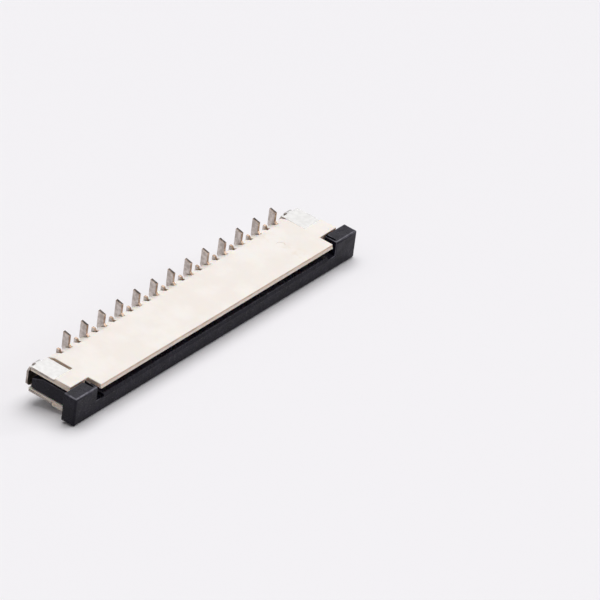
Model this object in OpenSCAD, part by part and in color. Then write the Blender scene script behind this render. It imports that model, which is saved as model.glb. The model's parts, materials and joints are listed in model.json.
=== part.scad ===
// Straight surface-mount connector for flat flexible cable, with a pull-out slider.
//
// Each piece is drawn in the connector's own axes: X runs along the row of contacts, -Y is the side
// that the cable enters, +Y is the side that is soldered to the board, and Z crosses the connector.
// Y = 0 is the rear face of the housing's comb and Z = 0 is the middle of its height. lying() then
// lays the finished connector down on its side, on its lower tails and the slider's front edge.

/* [Contacts] */
// Number of contacts, even because their tails go up and down by turns
contact_count = 26; // [10:2:40]
// Distance from one contact to the next
pitch = 1; // [0.8:0.05:1.5]
// Thickness of the sheet that the contacts are blanked from
contact_t = 0.22; // [0.16:0.02:0.3]
// Gap on each side of a contact in its slot
slot_gap = 0.05; // [0.03:0.01:0.08]
// Width of a solder tail, from its front edge to its soldered edge
tail_w = 0.6; // [0.5:0.02:0.8]
// How far a tail stands out past the housing
tail_out = 1.01; // [0.7:0.05:1.5]
// How much shorter a tail's front corner is than its rear corner
tail_bevel = 0.14; // [0.05:0.01:0.25]
// How far the opposite end of each contact stands out past the housing
nub_out = 0.11; // [0.06:0.01:0.3]
// Width of that end
nub_w = 0.24; // [0.16:0.02:0.4]
// Height of the contact's spring arms
beam_h = 0.3; // [0.2:0.02:0.36]

/* [Housing] */
// Height of the housing across the row
housing_h = 2.44; // [2.3:0.02:3.2]
// Depth from the comb's rear face to the edge of the roof over the cable slot
roof_d = 5.03; // [4.8:0.01:6]
// Depth from the comb's rear face to the front of the floor and the end flanges
floor_d = 3.78; // [3.4:0.01:4]
// Thickness of the roof and the floor
wall_t = 0.38; // [0.3:0.02:0.45]
// Thickness of the walls at the ends of the cable slot
side_wall_t = 0.44; // [0.3:0.02:0.6]
// Depth of the comb that holds the contacts
comb_d = 1.22; // [1:0.02:1.5]
// Distance from the middle of the last contact to the side of the core
end_margin = 1.02; // [0.9:0.02:1.4]
// Length of the flanges at each end, along the row
flange_l = 1.98; // [1.7:0.02:2.4]
// Thickness of a flange
flange_t = 0.5; // [0.44:0.02:0.56]
// Height of the vertical edge of the roof above its sloping lip
roof_edge_h = 0.18; // [0.1:0.02:0.24]
// How far the lip slopes forward
lip_out = 0.09; // [0.04:0.01:0.12]
// Bevel of the comb's rear edges, along Y
comb_bevel_y = 0.6; // [0.3:0.02:0.8]
// Bevel of the comb's rear edges, along Z
comb_bevel_z = 0.22; // [0.1:0.02:0.3]
// Width of the core hole beside each contact
hole_w = 0.24; // [0.1:0.02:0.3]
// Diameter of the shallow mark that the moulding gate leaves on the roof
gate_d = 0.7; // [0.4:0.05:1]

/* [Board side] */
// Distance from the comb's rear face to the surface of the board
standoff = 0.35; // [0.3:0.01:0.6]
// Thickness of the sheet that the solder nails are folded from
nail_t = 0.18; // [0.14:0.01:0.22]
// Length of a nail's leg in front of the comb's rear face
nail_leg_l = 2.23; // [1.6:0.01:2.6]
// How far a nail's leg lies below the face of the housing
nail_sink = 0.14; // [0.08:0.01:0.16]
// Outer radius of a nail's folds
nail_fold_r = 0.28; // [0.24:0.01:0.34]
// Width of the neck that is folded between a nail's leg and its soldered plate
nail_neck_w = 0.6; // [0.4:0.02:0.9]
// Gap between a nail's leg and the core beside it
nail_side_gap = 0.15; // [0.06:0.01:0.2]
// Gap in front of a nail's leg
nail_gap = 0.05; // [0.02:0.01:0.1]
// Corner cut of the nail's soldered plate
nail_corner = 0.26; // [0.1:0.02:0.3]

/* [Slider] */
// How far the slider pulls out
travel = 1.2; // [0.8:0.05:1.3]
// Running clearance of the slider in the housing
slide_gap = 0.06; // [0.04:0.01:0.08]
// Gap between the shut slider and the front of the housing
shut_gap = 0.14; // [0.06:0.02:0.2]
// How far the slider's front stands in front of the roof's edge
front_out = 0.09; // [0.04:0.01:0.15]
// How far the end blocks are lower than the face of the housing
block_drop = 0.02; // [0:0.01:0.1]
// How far the end blocks reach past the flanges, along the row
grip_out = 0.91; // [0.5:0.01:1.3]
// Gap between the roof's end and the end block
block_gap = 0.43; // [0.2:0.01:0.5]
// Height of the front bar
bar_h = 1.42; // [1.3:0.02:1.5]
// Depth of the step in the bar beside each end block
notch_h = 0.24; // [0.1:0.02:0.4]
// Thickness of the tongue that presses the cable
tongue_t = 0.44; // [0.3:0.02:0.5]
// How far the tongue reaches behind the front of the floor
tongue_l = 1.95; // [1.7:0.05:2.1]
// Thickness of an arm, along the row
arm_t = 0.72; // [0.5:0.02:0.9]
// How far the hook stands in from the arm
hook_w = 0.38; // [0.3:0.02:0.44]
// Bevel of the slider's outer edges
edge_bevel = 0.1; // [0.04:0.01:0.14]

/* [Hidden] */
$fn = 32;
// Overlap that joins two forms of one piece, and overshoot of a cut
weld = 0.1;
// Overshoot of a cut where a longer one would reach a neighbouring form
cut = 0.02;

// Housing
row_half = (contact_count - 1) / 2 * pitch;
core_x = row_half + end_margin;
cavity_x = core_x - side_wall_t;
end_x = core_x + flange_l;
face_z = housing_h / 2;
cavity_z = face_z - wall_t;
channel_z = face_z - flange_t;
slot_w = contact_t + 2 * slot_gap;
// A contact's slot narrows from the comb's front wall to the opening in the roof
slot_low_y = -comb_d * 0.7;
slot_top_y = -comb_d * 0.38;

// Solder nails
nail_z = face_z - nail_sink;
nail_seat_z = nail_z - nail_t;
nail_in_x = core_x + nail_side_gap;
recess_y = -(nail_leg_l + nail_gap);
// The folds start behind the flanges, and only the middle of the sheet is folded
fold_y = standoff - nail_fold_r;
web_z = nail_z - nail_fold_r;
web_in_x = nail_in_x + nail_t / 2;
neck_x = (web_in_x + end_x) / 2;

// Contacts
tail_z = face_z + tail_out;
tail_front_y = standoff - tail_w;
// A tail's neck leaves the comb on a slant
neck_high = face_z + tail_w / 6;
neck_foot_y = slot_low_y + 2 * slot_gap;
neck_rear_z = cavity_z - beam_h * 1.5;
// The window is the dark gap between the two ends of a contact's rear edge
window_top = 0.06;
window_low = -0.34;
window_y = -comb_d / 2;
rear_y = standoff / 7;
bulge_r = 0.15;
bulge_z = 0.28;
beam_tip_y = -(floor_d - beam_h);

// Slider
front_y = -(roof_d + front_out);
block_rear_y = -(floor_d + shut_gap);
slider_z = face_z - block_drop;
bar_top = bar_h - slider_z;
block_in_x = core_x + block_gap;
block_out_x = end_x + grip_out;
tongue_top = cavity_z - beam_h * 1.8 - slide_gap * 3;
tongue_low = tongue_top - tongue_t;
tongue_tip_y = -(floor_d - tongue_l);
tongue_x = cavity_x - 2 * slide_gap;
arm_z = channel_z - slide_gap;
arm_in_x = end_x - arm_t;
arm_tip_y = -0.24;
arm_top = arm_z - 0.14;
arm_tip_z = arm_top - 0.36;
hook_tip_x = arm_in_x - hook_w;
hook_front_y = arm_tip_y - 0.5;
// A stop in each side channel catches the hook when the slider is fully out
stop_rear_y = hook_front_y - travel - slide_gap;
stop_d = 0.34;
stop_x = arm_in_x - slide_gap * 2;

// At rest the lowest corner of the tails and the slider's front edge both touch the ground
tilt_on_rear = atan2(tail_z - slider_z, standoff - front_y);
tilt_on_front = atan2(tail_z - tail_bevel - slider_z, tail_front_y - front_y);
rest_tilt = max(tilt_on_rear, tilt_on_front);
function lying_y(y, z) = y * cos(rest_tilt) - z * sin(rest_tilt);
function lying_z(y, z) = y * sin(rest_tilt) + z * cos(rest_tilt);
ground = lying_z(front_y, -slider_z);
front_most = min(lying_y(front_y, slider_z - edge_bevel), lying_y(front_y - lip_out + front_out, cavity_z));
rear_most = lying_y(standoff, -tail_z);

function two_digits(i) = str(i < 10 ? "0" : "", i);
function contact_name(i) = str("contact_", two_digits(i));
function contact_x(i) = (i - 1) * pitch - row_half;
function goes_up(i) = i % 2 == 0;

// Lays the connector on its side, on the ground plane, centred over the origin.
module lying() {
    translate([0, -(front_most + rear_most) / 2, -ground])
        rotate([rest_tilt, 0, 0])
            children();
}

// Extrudes an outline drawn in Y and Z along the row, from x0 to x1.
module along_row(x0, x1) {
    translate([x0, 0, 0])
        rotate([90, 0, 90])
            linear_extrude(x1 - x0)
                children();
}

// Extrudes an outline drawn in X and Z from the front to the rear, from y0 to y1.
module front_to_rear(y0, y1) {
    translate([0, y1, 0])
        rotate([90, 0, 0])
            linear_extrude(y1 - y0)
                children();
}

// A box between two corners.
module block_between(low, high) {
    translate(low)
        cube(high - low);
}

// The same thing at both ends of the row.
module both_ends() {
    children();
    mirror([1, 0, 0])
        children();
}

// The same outline above and below the middle height.
module above_and_below() {
    children();
    mirror([0, 1])
        children();
}

// ---- Housing ----

module core_outline() {
    polygon([
        [0, comb_bevel_z - face_z],
        [0, face_z - comb_bevel_z],
        [-comb_bevel_y, face_z],
        [-roof_d, face_z],
        [-roof_d, face_z - roof_edge_h],
        [-roof_d - lip_out, cavity_z],
        [-floor_d, cavity_z],
        [-floor_d, -face_z],
        [-comb_bevel_y, -face_z]
    ]);
}

// The space that the cable and the slider's tongue share, with a lead-in at the floor's edge.
module cavity_outline() {
    translate([-floor_d - weld, -cavity_z])
        square([floor_d + weld - comb_d, 2 * cavity_z]);
    polygon([
        [-floor_d - weld, -cavity_z],
        [-floor_d - weld, -cavity_z - wall_t / 3 - weld],
        [-floor_d + wall_t / 3, -cavity_z]
    ]);
}

// One slot of the comb: open at the rear, and cut through the roof and the floor there.
module slot_outline() {
    polygon([
        [-comb_d - weld, -cavity_z],
        [slot_low_y, -cavity_z],
        [slot_top_y, -face_z],
        [slot_top_y, -face_z - weld],
        [weld, -face_z - weld],
        [weld, face_z + weld],
        [slot_top_y, face_z + weld],
        [slot_top_y, face_z],
        [slot_low_y, cavity_z],
        [-comb_d - weld, cavity_z]
    ]);
}

// A slot, with a hole beside it that opens into the space behind the comb.
module contact_slot(x) {
    along_row(x - slot_w / 2, x + slot_w / 2)
        slot_outline();
    block_between(
        [x - slot_w / 2 - hole_w, -comb_d - weld, window_low],
        [x, weld, window_top]
    );
}

// A flange with the recess that a solder nail's leg lies in.
module flange_outline() {
    polygon([
        [-floor_d, channel_z],
        [-floor_d, face_z],
        [recess_y, face_z],
        [recess_y, nail_seat_z],
        [0, nail_seat_z],
        [0, channel_z]
    ]);
}

module flanges() {
    along_row(core_x - weld, end_x)
        above_and_below()
            flange_outline();
    along_row(core_x - weld, stop_x)
        translate([stop_rear_y - stop_d, -channel_z - weld])
            square([stop_d, 2 * (channel_z + weld)]);
}

module housing() {
    color("ivory")
        difference() {
            union() {
                along_row(-core_x, core_x)
                    core_outline();
                both_ends()
                    flanges();
            }
            along_row(-cavity_x, cavity_x)
                cavity_outline();
            for (i = [1 : contact_count])
                contact_slot(contact_x(i));
            translate([row_half - 2 * pitch, -comb_d * 2, face_z - cut])
                cylinder(d = gate_d, h = weld);
        }
}

// ---- Contacts ----

// Points run anticlockwise round a contact. This gives the same points below the middle height.
function below(points) = [for (i = [len(points) - 1 : -1 : 0]) [points[i].x, -points[i].y]];

// The end that carries the solder tail, from the window to the foot of the tail's neck.
function tail_points(window_z) = [
    [window_y, window_z],
    [rear_y, window_z],
    [rear_y, neck_rear_z],
    [standoff, cavity_z],
    [standoff, tail_z],
    [tail_front_y, tail_z - tail_bevel],
    [tail_front_y, neck_high],
    [neck_foot_y, cavity_z]
];

// The end that only just shows, from the window to the foot of its nub.
function nub_points(window_z) = [
    [window_y, window_z],
    [rear_y, window_z],
    [rear_y, face_z + nub_out],
    [rear_y - nub_w, face_z + nub_out],
    [rear_y - 2 * nub_w, cavity_z]
];

// The two spring arms, the upper one with the raised point that touches the cable.
fork_points = [
    [beam_tip_y + beam_h * 2, cavity_z],
    [beam_tip_y, cavity_z - beam_h * 0.4],
    [beam_tip_y, cavity_z - beam_h * 0.8],
    [beam_tip_y + beam_h * 0.8, cavity_z - beam_h * 1.8],
    [beam_tip_y + beam_h * 1.2, cavity_z - beam_h * 1.8],
    [beam_tip_y + beam_h * 2, cavity_z - beam_h],
    [-comb_d, cavity_z - beam_h * 1.2],
    [-comb_d, beam_h - cavity_z],
    [beam_tip_y + beam_h, beam_h * 0.8 - cavity_z],
    [beam_tip_y, beam_h * 0.4 - cavity_z],
    [beam_tip_y, -cavity_z]
];

module contact_outline(up) {
    upper = up ? tail_points(window_top) : nub_points(window_top);
    lower = up ? nub_points(-window_low) : tail_points(-window_low);
    polygon(concat(upper, fork_points, below(lower)));
    // The rounded bump above the window
    translate([rear_y, bulge_z])
        circle(bulge_r);
}

module contact(i) {
    color("silver")
        along_row(contact_x(i) - contact_t / 2, contact_x(i) + contact_t / 2)
            contact_outline(goes_up(i));
}

// ---- Solder nails ----

// Outline of a rounded strip end: a bar from y0 to y1 with both rear corners rounded.
module rounded_end(y0, y1, half_h, r) {
    translate([y0, -half_h])
        square([y1 - r - y0, 2 * half_h]);
    translate([y1 - 2 * r, r - half_h])
        square([2 * r, 2 * (half_h - r)]);
    for (side = [-1, 1])
        translate([y1 - r, side * (half_h - r)])
            circle(r);
}

// The nail seen along the row: two legs joined by two folds and a plate.
module nail_outline() {
    difference() {
        rounded_end(-nail_leg_l, standoff, nail_z, nail_fold_r);
        rounded_end(-nail_leg_l - weld, standoff - nail_t, nail_z - nail_t, nail_fold_r - nail_t);
    }
}

// The nail seen from the board: the soldered plate with cut corners and a narrow folded neck.
module nail_plate_outline() {
    translate([neck_x - nail_neck_w / 2, -nail_z - weld])
        square([nail_neck_w, 2 * (nail_z + weld)]);
    polygon([
        [web_in_x, nail_corner - web_z],
        [web_in_x, web_z - nail_corner],
        [web_in_x + nail_corner, web_z],
        [end_x - nail_corner, web_z],
        [end_x, web_z - nail_corner],
        [end_x, nail_corner - web_z],
        [end_x - nail_corner, -web_z],
        [web_in_x + nail_corner, -web_z]
    ]);
}

module solder_nail() {
    color("lightgray")
        intersection() {
            along_row(nail_in_x, end_x)
                nail_outline();
            union() {
                block_between([nail_in_x - weld, -nail_leg_l - weld, -face_z], [end_x + weld, fold_y - nail_t / 2, face_z]);
                front_to_rear(fold_y - nail_t, standoff + weld)
                    nail_plate_outline();
            }
        }
}

// ---- Slider ----

// The front bar, with a sloping top front edge.
module bar_outline() {
    polygon([
        [front_y, -slider_z],
        [front_y, bar_top - notch_h],
        [front_y + edge_bevel, bar_top],
        [block_rear_y, bar_top],
        [block_rear_y, -slider_z]
    ]);
}

// The tongue, with a tapered tip.
module tongue_outline() {
    polygon([
        [block_rear_y - weld, tongue_low],
        [block_rear_y - weld, tongue_top],
        [tongue_tip_y - tongue_t, tongue_top],
        [tongue_tip_y, tongue_top - tongue_t / 4],
        [tongue_tip_y, tongue_low + tongue_t / 4],
        [tongue_tip_y - tongue_t / 3, tongue_low]
    ]);
}

// An end block seen along the row, with its top edges bevelled.
module block_side_outline() {
    polygon([
        [front_y, -slider_z],
        [front_y, slider_z - edge_bevel],
        [front_y + edge_bevel, slider_z],
        [block_rear_y, slider_z],
        [block_rear_y, -slider_z]
    ]);
}

// An end block seen from the front.
module block_front_outline() {
    polygon([
        [block_in_x - weld, -slider_z],
        [block_in_x - weld, bar_top - notch_h],
        [block_in_x, bar_top - notch_h],
        [block_in_x, slider_z],
        [block_out_x - edge_bevel, slider_z],
        [block_out_x, slider_z - edge_bevel],
        [block_out_x, -slider_z]
    ]);
}

// An arm, whose top slopes down to its tip.
module arm_outline() {
    polygon([
        [block_rear_y - weld, -arm_z],
        [block_rear_y - weld, arm_top],
        [arm_tip_y - 1, arm_top],
        [arm_tip_y, arm_tip_z],
        [arm_tip_y, 0.1 - arm_z],
        [arm_tip_y - 0.25, -arm_z]
    ]);
}

module slider_end() {
    difference() {
        intersection() {
            along_row(block_in_x - weld, block_out_x)
                block_side_outline();
            front_to_rear(front_y, block_rear_y)
                block_front_outline();
        }
        // A thin groove leaves a rim beside the roof
        block_between(
            [block_in_x + edge_bevel, front_y + 3 * edge_bevel, slider_z - 0.35],
            [block_in_x + 3 * edge_bevel, block_rear_y + weld, slider_z + weld]
        );
    }
    along_row(arm_in_x, end_x)
        arm_outline();
    block_between([hook_tip_x, hook_front_y, -arm_z + weld], [arm_in_x + weld, arm_tip_y, arm_tip_z]);
}

module slider() {
    color("#2c2b30") {
        along_row(-cavity_x, cavity_x)
            bar_outline();
        block_between(
            [-block_in_x, front_y, -slider_z],
            [block_in_x, block_rear_y, bar_top - notch_h]
        );
        along_row(-tongue_x, tongue_x)
            tongue_outline();
        both_ends()
            slider_end();
    }
}

lying() housing();
lying() slider();
lying() mirror([1, 0, 0]) solder_nail();  // solder_nail_left
lying() solder_nail();  // solder_nail_right
for (i = [1 : contact_count])
    lying() contact(i);
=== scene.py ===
"""Finish, light and camera of a flat-cable connector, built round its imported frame.

Each CAD solid is replaced by a copy of itself with rounded edges and a procedural finish.
All colours are linear.
"""

import json
import math

import bmesh
import bpy
from mathutils import Matrix, Vector

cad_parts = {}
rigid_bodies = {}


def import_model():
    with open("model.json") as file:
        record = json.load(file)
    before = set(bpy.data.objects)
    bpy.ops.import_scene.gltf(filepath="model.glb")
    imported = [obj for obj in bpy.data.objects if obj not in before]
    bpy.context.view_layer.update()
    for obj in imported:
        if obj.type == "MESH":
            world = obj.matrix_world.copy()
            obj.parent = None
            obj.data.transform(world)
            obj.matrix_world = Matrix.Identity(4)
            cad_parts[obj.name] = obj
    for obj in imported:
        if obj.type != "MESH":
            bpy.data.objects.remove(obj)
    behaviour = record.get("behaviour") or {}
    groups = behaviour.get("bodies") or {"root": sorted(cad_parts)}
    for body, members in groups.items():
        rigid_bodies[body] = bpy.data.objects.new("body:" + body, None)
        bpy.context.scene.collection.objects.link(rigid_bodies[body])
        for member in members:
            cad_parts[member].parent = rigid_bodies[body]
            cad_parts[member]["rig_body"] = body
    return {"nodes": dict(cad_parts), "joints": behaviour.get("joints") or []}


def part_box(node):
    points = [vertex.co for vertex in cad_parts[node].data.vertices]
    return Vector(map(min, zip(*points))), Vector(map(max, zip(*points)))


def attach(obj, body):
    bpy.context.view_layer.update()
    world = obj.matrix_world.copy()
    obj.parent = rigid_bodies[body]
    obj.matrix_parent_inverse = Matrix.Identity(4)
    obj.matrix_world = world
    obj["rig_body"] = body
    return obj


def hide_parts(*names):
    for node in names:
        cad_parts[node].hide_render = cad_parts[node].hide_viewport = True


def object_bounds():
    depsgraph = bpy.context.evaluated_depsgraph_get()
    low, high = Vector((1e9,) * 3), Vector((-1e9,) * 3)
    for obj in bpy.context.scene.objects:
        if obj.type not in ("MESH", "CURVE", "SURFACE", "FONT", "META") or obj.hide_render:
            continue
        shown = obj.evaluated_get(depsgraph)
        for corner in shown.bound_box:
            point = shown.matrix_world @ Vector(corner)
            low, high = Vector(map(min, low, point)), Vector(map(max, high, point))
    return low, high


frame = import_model()
cad_low, cad_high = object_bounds()
MM = 0.001


def box_middle(node):
    return sum(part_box(node), Vector()) / 2


# ---------------------------------------------------------------- the part's own axes
# The part lies tilted. Its own axes are read from the slide joint, which runs along its depth.
ROW = Vector((1, 0, 0))
DEPTH = -Vector(frame["joints"][0]["axis"]).normalized()
HEIGHT = ROW.cross(DEPTH).normalized()
TILT = math.atan2(DEPTH.z, DEPTH.y)

# A solder nail is the same above and below, so the middle of its box is close to the part's own
MIDDLE = box_middle("solder_nail_left")
# The gate mark on the roof is in line with this contact
GATE_X = box_middle("contact_24").x
# An end block's grip stands out past the housing's flanges, and all its own edges lie past this
GRIP_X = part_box("housing")[1].x + 0.2 * MM
# The end blocks begin about here
BLOCK_X = GRIP_X - 1.8 * MM


# ---------------------------------------------------------------- node helpers
class Tree:
    """A short way to write a node tree."""

    def __init__(self, tree):
        self.tree = tree

    def put(self, value, socket):
        """Sets a socket to a number, a vector or a colour, or links it to another node's output."""
        if isinstance(value, bpy.types.NodeSocket):
            self.tree.links.new(value, socket)
        elif socket.type == "RGBA":
            socket.default_value = (*value, 1.0)
        else:
            socket.default_value = value

    def add(self, kind, inputs=()):
        """A new node of that kind, with a value or a link for each of the inputs named."""
        n = self.tree.nodes.new("ShaderNode" + kind)
        for name, value in dict(inputs).items():
            self.put(value, n.inputs[name])
        return n

    def split(self, vector):
        return self.add("SeparateXYZ", {"Vector": vector}).outputs

    def math(self, operation, a, b=0.0):
        n = self.add("Math")
        n.operation = operation
        self.put(a, n.inputs[0])
        self.put(b, n.inputs[1])
        return n.outputs[0]

    def ramp(self, value, low, high, start=0.0, end=1.0, kind="SMOOTHSTEP"):
        """Goes from start to end while the value goes from low to high."""
        limits = {"From Min": low, "From Max": high, "To Min": start, "To Max": end}
        n = self.add("MapRange", {"Value": value, **limits})
        n.interpolation_type = kind
        return n.outputs["Result"]

    def mix(self, share, a, b, data_type="RGBA"):
        """Goes from a to b while the share goes from 0 to 1."""
        n = self.add("Mix", {"Factor": share})
        n.data_type = data_type
        # A Mix node has a socket A and B for every type of data, and only this type's are enabled
        enabled = {socket.name: socket for socket in n.inputs if socket.enabled}
        self.put(a, enabled["A"])
        self.put(b, enabled["B"])
        return next(socket for socket in n.outputs if socket.enabled)


class Finish(Tree):
    """A material's node tree.

    Its places and normals are in the part's own axes: X along the row, Y its depth, Z its height.
    """

    def __init__(self, name):
        self.material = bpy.data.materials.new(name)
        self.material.use_nodes = True
        super().__init__(self.material.node_tree)
        self.tree.nodes.clear()
        self.bsdf = self.add("BsdfPrincipled")
        self.add("OutputMaterial", {"Surface": self.bsdf.outputs["BSDF"]})
        coords = self.add("TexCoord").outputs
        self.where = self.mapped(coords["Object"], "Rotation", (-TILT, 0, 0))
        self.facing = self.split(self.mapped(coords["Normal"], "Rotation", (-TILT, 0, 0)))

    def mapped(self, vector, change, amounts):
        """The vector after a change, Rotation or Scale, by those amounts."""
        return self.add("Mapping", {"Vector": vector, change: amounts}).outputs["Vector"]

    def noise(self, size, detail=3, rough=0.5, squeeze=(1, 1, 1)):
        """Noise about size metres across, which is longer along an axis whose squeeze is under 1."""
        place = self.mapped(self.where, "Scale", squeeze)
        kind = {"Scale": 1.0 / size, "Detail": detail, "Roughness": rough}
        return self.add("TexNoise", {"Vector": place, **kind}).outputs["Fac"]

    def layer(self, under, mask, share, over):
        """The colour over covers that share of the colour under where the mask is 1."""
        return self.mix(self.math("MULTIPLY", mask, share), under, over)

    def set(self, name, value):
        """Sets or links one of the shader's own sockets."""
        self.put(value, self.bsdf.inputs[name])

    def rough(self, low, high, size, detail=3):
        """The roughness goes from low to high and back in patches about size metres across."""
        self.set("Roughness", self.ramp(self.noise(size, detail), 0.3, 0.7, low, high))

    def bump(self, height, depth):
        """The height is a value from 0 to 1, and the depth is how deep that is, in metres."""
        n = self.add("Bump", {"Height": height, "Distance": depth, "Strength": 1.0})
        self.set("Normal", n.outputs["Normal"])


# ---------------------------------------------------------------- materials
def housing_material():
    """Ivory plastic that lets a little light in, with a painted golden shade on its side faces."""
    m = Finish("ivory_moulded_plastic")
    clouds = m.ramp(m.noise(2.2 * MM, detail=4), 0.35, 0.65)
    color = m.mix(clouds, (0.885, 0.824, 0.775), (0.918, 0.868, 0.826))

    # Faint flow lines run along the depth
    flow = m.ramp(m.noise(0.5 * MM, rough=0.6, squeeze=(1, 0.22, 1)), 0.4, 0.7)
    color = m.layer(color, flow, share=0.15, over=(0.880, 0.800, 0.735))

    # Side faces are painted a golden shade, darker than the lit top, and it is paler on the end faces
    grain = m.ramp(m.noise(0.25 * MM, rough=0.6, squeeze=(0.3, 1, 1)), 0.3, 0.7)
    golden_painted_shade = m.mix(grain, (0.56, 0.39, 0.275), (0.76, 0.585, 0.46))
    pale_golden_painted_shade = m.mix(grain, (0.76, 0.62, 0.48), (0.86, 0.75, 0.63))
    faces_end = m.ramp(m.math("ABSOLUTE", m.facing["X"]), 0.4, 0.8)
    painted_side_shade_mask = m.ramp(m.math("ABSOLUTE", m.facing["Z"]), 0.15, 0.62, 1.0, 0.0)
    color = m.layer(color, painted_side_shade_mask, share=0.9, over=m.mix(faces_end, golden_painted_shade, pale_golden_painted_shade))

    specks = m.ramp(m.noise(0.09 * MM, detail=1), 0.70, 0.78)
    color = m.layer(color, specks, share=0.08, over=(0.66, 0.54, 0.42))

    # A faint brown stain in a band that crosses the gate mark
    stain_x = GATE_X + 0.1 * MM
    from_stain = m.math("ABSOLUTE", m.math("SUBTRACT", m.split(m.where)["X"], stain_x))
    band = m.ramp(from_stain, 0.1 * MM, 0.9 * MM, 1.0, 0.0)
    patches = m.ramp(m.noise(0.5 * MM, detail=4), 0.45, 0.7)
    stain = m.math("MULTIPLY", band, patches)
    color = m.layer(color, stain, share=0.35, over=(0.80, 0.69, 0.57))

    m.set("Base Color", color)
    m.set("Specular IOR Level", 0.2)
    m.set("Subsurface Weight", 0.3)
    m.set("Subsurface Radius", (1.0, 0.62, 0.34))
    m.set("Subsurface Scale", 0.25 * MM)
    m.rough(0.46, 0.58, size=0.8 * MM)
    m.bump(m.noise(0.05 * MM, detail=2), depth=0.0012 * MM)
    return m.material


def slider_material(name, painted_highlight):
    """Black plastic with glass fibres, and a painted highlight on its upward faces. The second
    argument is how strong that painted highlight is.
    """
    m = Finish(name)
    clouds = m.ramp(m.noise(0.9 * MM, detail=4), 0.35, 0.70)
    color = m.mix(clouds, (0.0050, 0.0042, 0.0092), (0.0110, 0.0094, 0.0185))

    # Fibres near the surface are fine paler streaks along the row
    fibres = m.ramp(m.noise(0.06 * MM, detail=2, rough=0.6, squeeze=(0.25, 1, 1)), 0.60, 0.78)
    color = m.layer(color, fibres, share=0.20, over=(0.046, 0.042, 0.058))

    # Upward faces get a painted highlight in patches, most on the end blocks
    upward = m.ramp(m.facing["Z"], 0.15, 0.75)
    patches = m.ramp(m.noise(0.35 * MM), 0.30, 0.62, 0.35, 1.0)
    from_middle = m.math("ABSOLUTE", m.split(m.where)["X"])
    on_blocks = m.ramp(from_middle, BLOCK_X - 0.5 * MM, BLOCK_X, 0.25, 1.0)
    painted_highlight_mask = m.math("MULTIPLY", m.math("MULTIPLY", upward, patches), on_blocks)
    color = m.layer(color, painted_highlight_mask, share=painted_highlight, over=(0.150, 0.145, 0.175))

    m.set("Base Color", color)
    m.set("Specular IOR Level", 0.14)
    m.rough(0.20, 0.42, size=0.30 * MM)
    # A spark-eroded mould leaves fine pits, and the faces sink a little as they cool
    pits = m.math("MULTIPLY", m.noise(0.07 * MM), 0.10)
    sinks = m.noise(0.55 * MM)
    m.bump(m.math("ADD", pits, sinks), depth=0.016 * MM)
    return m.material


def metal(name, dark, pale, rough, squeeze=(1, 1, 1), streak=0.5, line=0.035 * MM, depth=0.0012 * MM):
    """Sheet metal with marks about line metres wide, from rolling or from the shears."""
    m = Finish(name)
    clouds = m.ramp(m.noise(0.30 * MM), 0.35, 0.68)
    marks = m.noise(line, detail=2, rough=0.6, squeeze=squeeze)
    color = m.mix(clouds, dark, pale)
    m.set("Base Color", m.layer(color, m.ramp(marks, 0.5, 0.75), share=streak, over=dark))
    m.set("Metallic", 1.0)
    m.rough(*rough, size=0.15 * MM, detail=2)
    m.bump(marks, depth)
    return m.material


HOUSING = housing_material()
SLIDER = slider_material("black_moulded_plastic", painted_highlight=0.04)
# The slider's rounded edges get the painted highlight at full strength
SLIDER_PAINTED_EDGE_HIGHLIGHT = slider_material("black_edge_painted_highlight", painted_highlight=1.0)

TIN = metal(
    "tin_plated_strip",
    dark=(0.400, 0.352, 0.320),
    pale=(0.640, 0.585, 0.550),
    rough=(0.28, 0.42),
    squeeze=(1, 1, 0.15),
    streak=0.45,
)
CUT = metal(
    "sheared_copper_alloy_edge",
    dark=(0.260, 0.175, 0.125),
    pale=(0.480, 0.360, 0.280),
    rough=(0.34, 0.48),
    squeeze=(0.2, 1, 1),
    streak=0.6,
    depth=0.002 * MM,
)
TIP = metal(
    "cut_tail_tip",
    dark=(0.022, 0.020, 0.019),
    pale=(0.070, 0.060, 0.055),
    rough=(0.30, 0.42),
)
NAIL = metal(
    "bright_tin_nail",
    dark=(0.440, 0.434, 0.428),
    pale=(0.490, 0.484, 0.479),
    rough=(0.34, 0.42),
    squeeze=(0.12, 1, 1),
    streak=0.15,
    line=0.10 * MM,
    depth=0.0002 * MM,
)
# Painted shade for the inner face of a nail's plate, which lies in a dark pocket
NAIL_PAINTED_SHADE = metal(
    "nail_inside_painted_shade",
    dark=(0.050, 0.040, 0.034),
    pale=(0.130, 0.105, 0.090),
    rough=(0.45, 0.60),
)
NAIL_CUT = metal(
    "sheared_nail_edge",
    dark=(0.280, 0.240, 0.215),
    pale=(0.480, 0.430, 0.395),
    rough=(0.34, 0.46),
    squeeze=(1, 0.2, 1),
    depth=0.002 * MM,
)


# ---------------------------------------------------------------- pieces from the CAD solids
# Radii of the rounded edges
HOUSING_RADIUS = 0.045 * MM
SLIDER_RADIUS = 0.06 * MM
GRIP_RADIUS = 0.16 * MM
SHEET_RADIUS = 0.02 * MM
BEVEL_SEGMENTS = 4
# Outer edges that turn by more than this are rounded
OUTER_TURN = math.radians(40)
# The edges of a grip are longer than this and turn by more than this
SHORTEST_GRIP_EDGE = 0.6 * MM
GRIP_TURN = math.radians(60)
# Flat faces that meet at a wider angle than this keep a sharp edge between them. A sheet's
# arcs and folds stay smooth.
MOULDED_CREASE = math.radians(8)
SHEET_CREASE = math.radians(32)
# A face looks along an axis if that part of its normal is over this
MOSTLY = 0.7
# The cut end of a tail lies within this of the contact's end
TIP_REACH = 0.2 * MM
# The plate of a nail lies within this of the nail's deepest point
PLATE_REACH = 0.4 * MM


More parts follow.
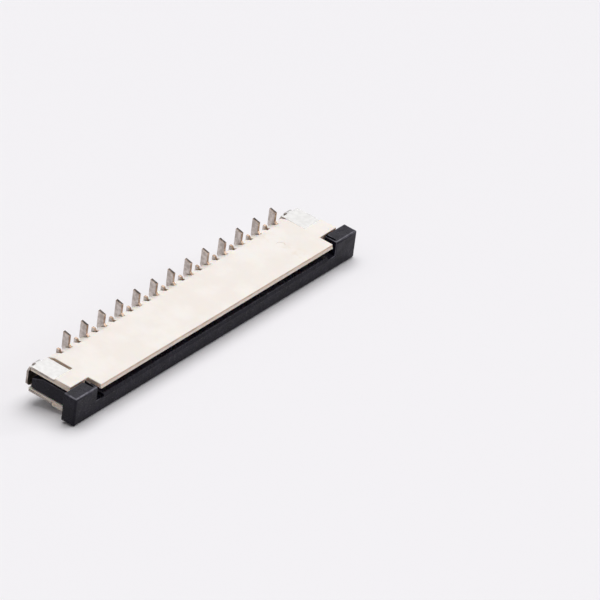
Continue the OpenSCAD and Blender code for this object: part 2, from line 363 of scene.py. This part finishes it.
def is_outer(edge, shortest, turn):
    """True for an edge that sticks out, is longer than the shortest and turns by more than turn."""
    if len(edge.link_faces) != 2 or not edge.is_convex:
        return False
    return edge.calc_length() > shortest and edge.calc_face_angle() > turn


def is_grip(edge):
    """True for the long outer edges of the slider's grips, which are the most rounded."""
    on_grip = all(abs(vert.co.x) > GRIP_X for vert in edge.verts)
    return on_grip and is_outer(edge, SHORTEST_GRIP_EDGE, GRIP_TURN)


def whole_faces(mesh):
    """The mesh with its doubled points joined and each flat face in one piece."""
    bm = bmesh.new()
    bm.from_mesh(mesh)
    bmesh.ops.remove_doubles(bm, verts=bm.verts, dist=0.001 * MM)
    bmesh.ops.dissolve_limit(bm, angle_limit=math.radians(1), verts=bm.verts, edges=bm.edges)
    return bm


def mark_outer_edges(bm, radius, grip_radius, shortest):
    """Gives each edge that will be rounded its radius as a share of the widest one."""
    widest = max(radius, grip_radius)
    weight = bm.edges.layers.float.new("bevel_weight_edge")
    for edge in bm.edges:
        if grip_radius and is_grip(edge):
            edge[weight] = grip_radius / widest
        elif is_outer(edge, shortest, OUTER_TURN):
            edge[weight] = radius / widest


def paint_faces(bm, pick):
    """Gives each face the number of its material, which pick finds from its normal and middle."""
    for face in bm.faces:
        face.smooth = True
        normal = Vector([face.normal.dot(axis) for axis in (ROW, DEPTH, HEIGHT)])
        face.material_index = pick(normal, face.calc_center_median())


def crisp_mesh(piece, edge_material, crease):
    """The piece's mesh with its bevel applied, shaded so that its flat faces stay flat."""
    shaped = piece.evaluated_get(bpy.context.evaluated_depsgraph_get())
    mesh = bpy.data.meshes.new_from_object(shaped)
    bm = bmesh.new()
    bm.from_mesh(mesh)
    # Two flat faces shade as one unless they meet at a crease, and never with a rounded edge
    for edge in bm.edges:
        rounded = {face.material_index == edge_material for face in edge.link_faces}
        if rounded == {False}:
            edge.smooth = edge.calc_face_angle(0) < crease
        elif rounded == {True, False}:
            edge.smooth = False
    bm.to_mesh(mesh)
    bm.free()
    return mesh


def rounded_copy(node, materials, pick, radius, shortest, crease, grip_radius=0):
    """A copy of a CAD solid with rounded outer edges, which have the last of the materials."""
    source = frame["nodes"][node]
    bm = whole_faces(source.data)
    mark_outer_edges(bm, radius, grip_radius, shortest)
    paint_faces(bm, pick)
    mesh = bpy.data.meshes.new(node + "_finish")
    bm.to_mesh(mesh)
    bm.free()
    for material in materials:
        mesh.materials.append(material)
    piece = bpy.data.objects.new(node + "_finish", mesh)
    bpy.context.scene.collection.objects.link(piece)

    bevel = piece.modifiers.new("edges", "BEVEL")
    bevel.limit_method = "WEIGHT"
    bevel.width = max(radius, grip_radius)
    bevel.segments = BEVEL_SEGMENTS
    bevel.use_clamp_overlap = False
    bevel.material = len(materials) - 1
    piece.data = crisp_mesh(piece, bevel.material, crease)
    piece.modifiers.clear()

    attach(piece, source["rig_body"])
    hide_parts(node)


def moulded_face(normal, middle):
    """A moulding has one material on all its flat faces."""
    return 0


def nail_face(node):
    """Picks among a nail's plated faces, its sheared edges and the inner face of its plate, which
    gets painted shade.
    """
    depths = [vert.co.dot(DEPTH) for vert in frame["nodes"][node].data.vertices]
    plate_begins = max(depths) - PLATE_REACH

    def pick(normal, middle):
        if abs(normal.x) > MOSTLY:
            return 1
        on_plate = middle.dot(DEPTH) > plate_begins
        return 2 if on_plate and normal.y < -MOSTLY else 0

    return pick


def contact_face(node):
    """Picks among a contact's sheet faces, its sheared edges and the dark cut end of its tail."""
    heights = [(vert.co - MIDDLE).dot(HEIGHT) for vert in frame["nodes"][node].data.vertices]
    tip_begins = max(abs(height) for height in heights) - TIP_REACH

    def pick(normal, middle):
        if abs(normal.x) > MOSTLY:
            return 0
        at_tip = abs((middle - MIDDLE).dot(HEIGHT)) > tip_begins
        return 2 if at_tip and abs(normal.z) > MOSTLY else 1

    return pick


rounded_copy(
    "housing",
    [HOUSING, HOUSING],
    moulded_face,
    radius=HOUSING_RADIUS,
    shortest=0.4 * MM,
    crease=MOULDED_CREASE,
)
rounded_copy(
    "slider",
    [SLIDER, SLIDER_PAINTED_EDGE_HIGHLIGHT],
    moulded_face,
    radius=SLIDER_RADIUS,
    shortest=0.8 * MM,
    crease=MOULDED_CREASE,
    grip_radius=GRIP_RADIUS,
)
for node in sorted(frame["nodes"]):
    if node.startswith("contact_"):
        rounded_copy(
            node,
            [TIN, CUT, TIP, CUT],
            contact_face(node),
            radius=SHEET_RADIUS,
            shortest=0.05 * MM,
            crease=SHEET_CREASE,
        )
    elif node.startswith("solder_nail"):
        rounded_copy(
            node,
            [NAIL, NAIL_CUT, NAIL_PAINTED_SHADE, NAIL_CUT],
            nail_face(node),
            radius=SHEET_RADIUS,
            shortest=0.3 * MM,
            crease=SHEET_CREASE,
        )


# ---------------------------------------------------------------- floor
# Half the length of its side, in metres
FLOOR_HALF = 1.2


def floor_material():
    """Matt paper, a little uneven in tone."""
    m = Finish("pale_floor")
    clouds = m.noise(120 * MM, detail=2)
    m.set("Base Color", m.mix(clouds, (0.898, 0.882, 0.908), (0.908, 0.893, 0.918)))
    m.set("Roughness", 0.9)
    m.set("Specular IOR Level", 0.1)
    return m.material


bm = bmesh.new()
bmesh.ops.create_grid(bm, x_segments=8, y_segments=8, size=FLOOR_HALF)
floor_mesh = bpy.data.meshes.new("floor")
bm.to_mesh(floor_mesh)
bm.free()
floor_mesh.materials.append(floor_material())
floor = bpy.data.objects.new("floor", floor_mesh)
bpy.context.scene.collection.objects.link(floor)


# ---------------------------------------------------------------- light
WHITE = (1.0, 1.0, 1.0)
# The studio's light is dim at the horizon and brighter overhead
HORIZON = 0.06
ZENITH = 0.36
# The camera and what is glossy or clear see the pale surroundings that the floor belongs to
SURROUNDINGS = 0.85


def studio():
    """The light from all sides, and the pale surroundings that show in gloss."""
    world = bpy.data.worlds.new("studio")
    bpy.context.scene.world = world
    world.use_nodes = True
    sky = Tree(world.node_tree)
    climb = sky.split(sky.add("TexCoord").outputs["Generated"])["Z"]
    light = sky.ramp(climb, 0.0, 1.0, HORIZON, ZENITH, kind="LINEAR")
    ray = sky.add("LightPath").outputs
    seen = sky.math("MAXIMUM", ray["Is Camera Ray"], ray["Is Glossy Ray"])
    seen = sky.math("MAXIMUM", seen, ray["Is Transmission Ray"])
    background = sky.tree.nodes["Background"].inputs
    sky.put(WHITE, background["Color"])
    sky.put(sky.mix(seen, light, SURROUNDINGS, data_type="FLOAT"), background["Strength"])


def softbox(name, toward, strength, spread):
    """A distant lamp that shines in that direction, as wide as the spread in degrees."""
    data = bpy.data.lights.new(name, "SUN")
    data.energy = strength
    data.angle = math.radians(spread)
    lamp = bpy.data.objects.new(name, data)
    bpy.context.scene.collection.objects.link(lamp)
    lamp.rotation_euler = Vector(toward).to_track_quat("-Z", "Y").to_euler()


studio()
softbox("overhead_softbox", toward=(-0.33, -0.02, -1.0), strength=2.30, spread=60)
softbox("front_softbox", toward=(-0.68, 0.65, -0.38), strength=0.34, spread=14)


# ---------------------------------------------------------------- camera
# The photograph looks down on the slider's side and the left end from far away. The heading goes
# from +Y towards +X.
HEADING = math.radians(50.23)
ELEVATION = math.radians(27.69)
ROLL = math.radians(2.19)
DISTANCE = 624.4 * MM
# Blender takes these two in millimetres
LENS = 504.6
SENSOR = 36
# The point in the middle of the picture, from the middle of the part
AIM = Vector((6.41, -5.46, -0.69)) * MM


def photo_camera():
    """The camera at the photograph's viewing angle."""
    level = Vector((math.sin(HEADING), math.cos(HEADING), 0)) * math.cos(ELEVATION)
    forward = level - Vector((0, 0, math.sin(ELEVATION)))
    right = forward.cross(Vector((0, 0, 1))).normalized()
    up = right.cross(forward) * math.cos(ROLL) + right * math.sin(ROLL)
    axes = Matrix((forward.cross(up), up, -forward)).transposed().to_4x4()
    place = (cad_low + cad_high) / 2 + AIM - forward * DISTANCE

    data = bpy.data.cameras.new("camera")
    data.sensor_width = SENSOR
    data.lens = LENS
    data.clip_start = 0.01
    data.clip_end = 20
    camera = bpy.data.objects.new("camera", data)
    camera.matrix_world = Matrix.Translation(place) @ axes
    bpy.context.scene.collection.objects.link(camera)
    bpy.context.scene.camera = camera


photo_camera()
bpy.context.scene.view_settings.view_transform = "Standard"
